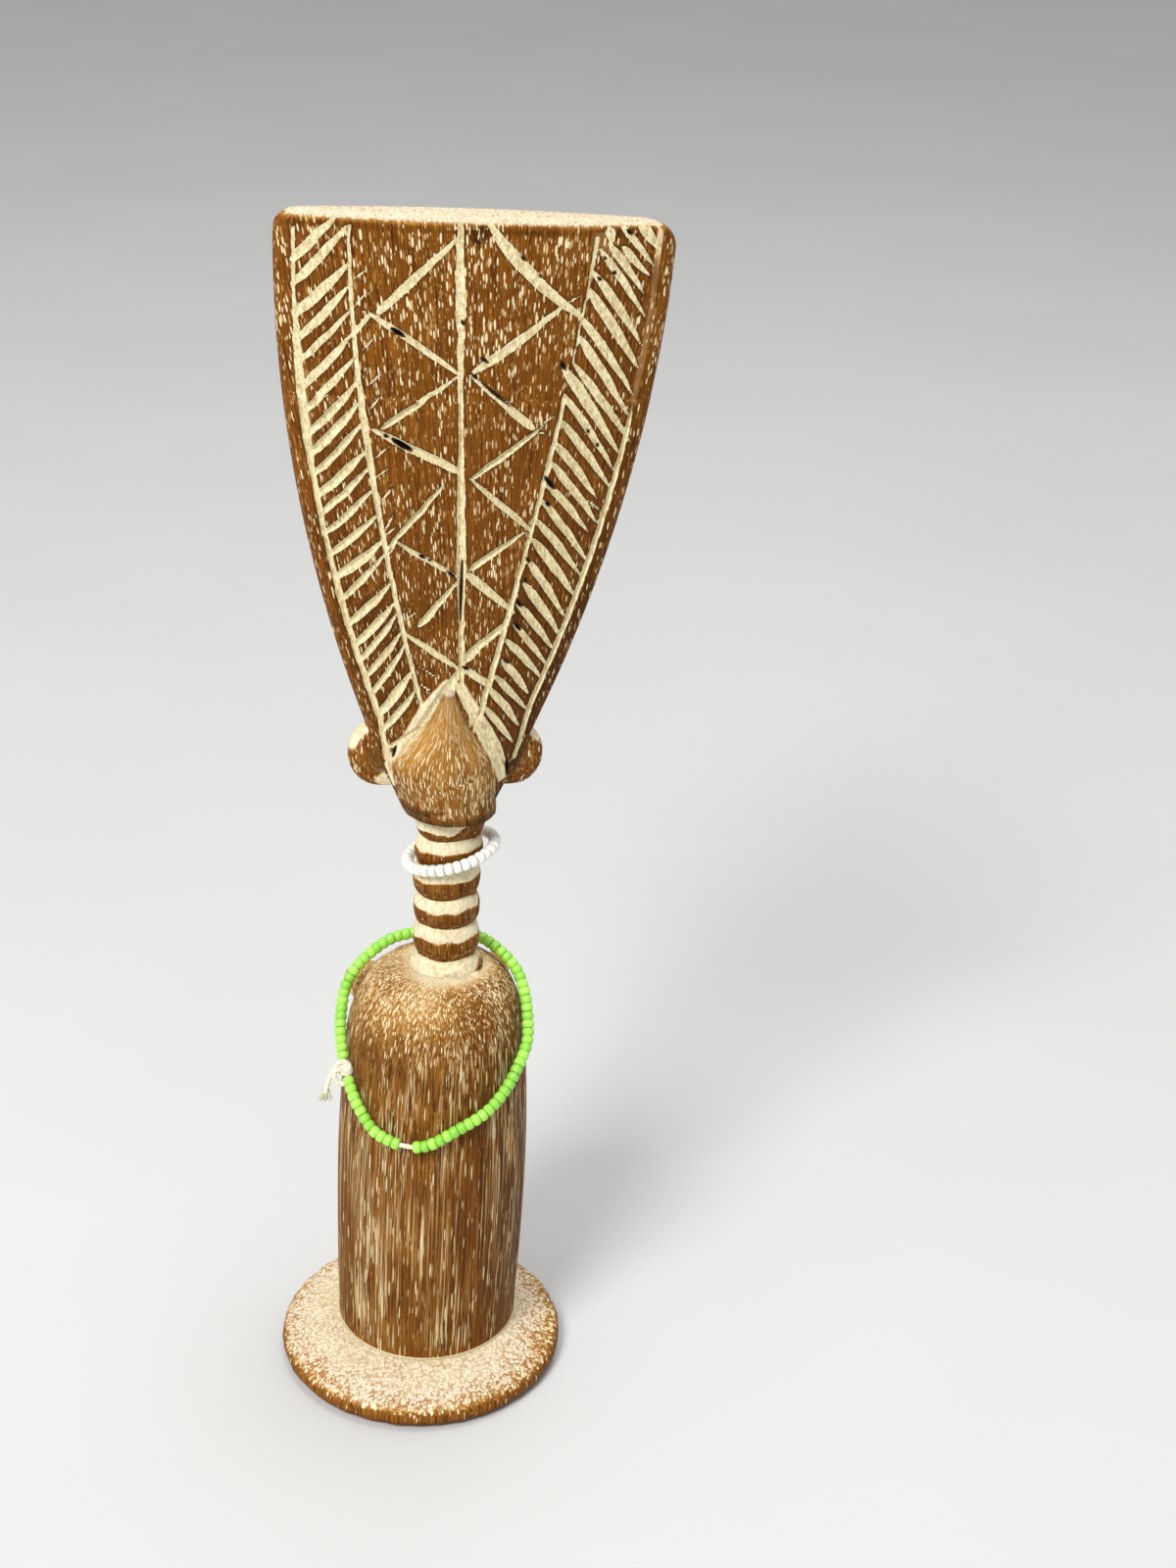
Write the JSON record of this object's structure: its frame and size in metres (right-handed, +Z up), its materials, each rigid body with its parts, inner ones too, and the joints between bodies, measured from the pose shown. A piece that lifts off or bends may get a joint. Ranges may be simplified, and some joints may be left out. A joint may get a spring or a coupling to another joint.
{
  "type": "akuaba doll",
  "caption": "Carved wooden akuaba fertility doll with a tapered, incised shield head, ringed neck, cylindrical body on a round foot, and strings of small glass beads.",
  "frame": {"origin": "centre of the round foot's underside", "axes": "+Z up toward the top of the head, -Y out of the head's incised back, +Y out of the face side, +X to the right seen from the incised back"},
  "size_m": [0.0913, 0.072, 0.2959],
  "materials": {
    "carved_doll": "stained and oiled reddish brown wood with pale kaolin rubbed into its pores and cuts",
    "green_beads_short_run": "opaque lime green glass",
    "green_beads_long_run": "opaque lime green glass",
    "green_thread_bare_stretch": "twisted undyed cotton",
    "green_thread_tie": "twisted undyed cotton",
    "white_beads": "opaque white glass",
    "white_thread_tie": "twisted undyed cotton"
  },
  "bodies": {
    "root": {"carved_doll": "carved_doll", "green_beads_short_run": "green_beads_short_run", "green_beads_long_run": "green_beads_long_run", "green_thread_bare_stretch": "green_thread_bare_stretch", "green_thread_tie": "green_thread_tie", "white_beads": "white_beads", "white_thread_tie": "white_thread_tie"}
  },
  "joints": []
}
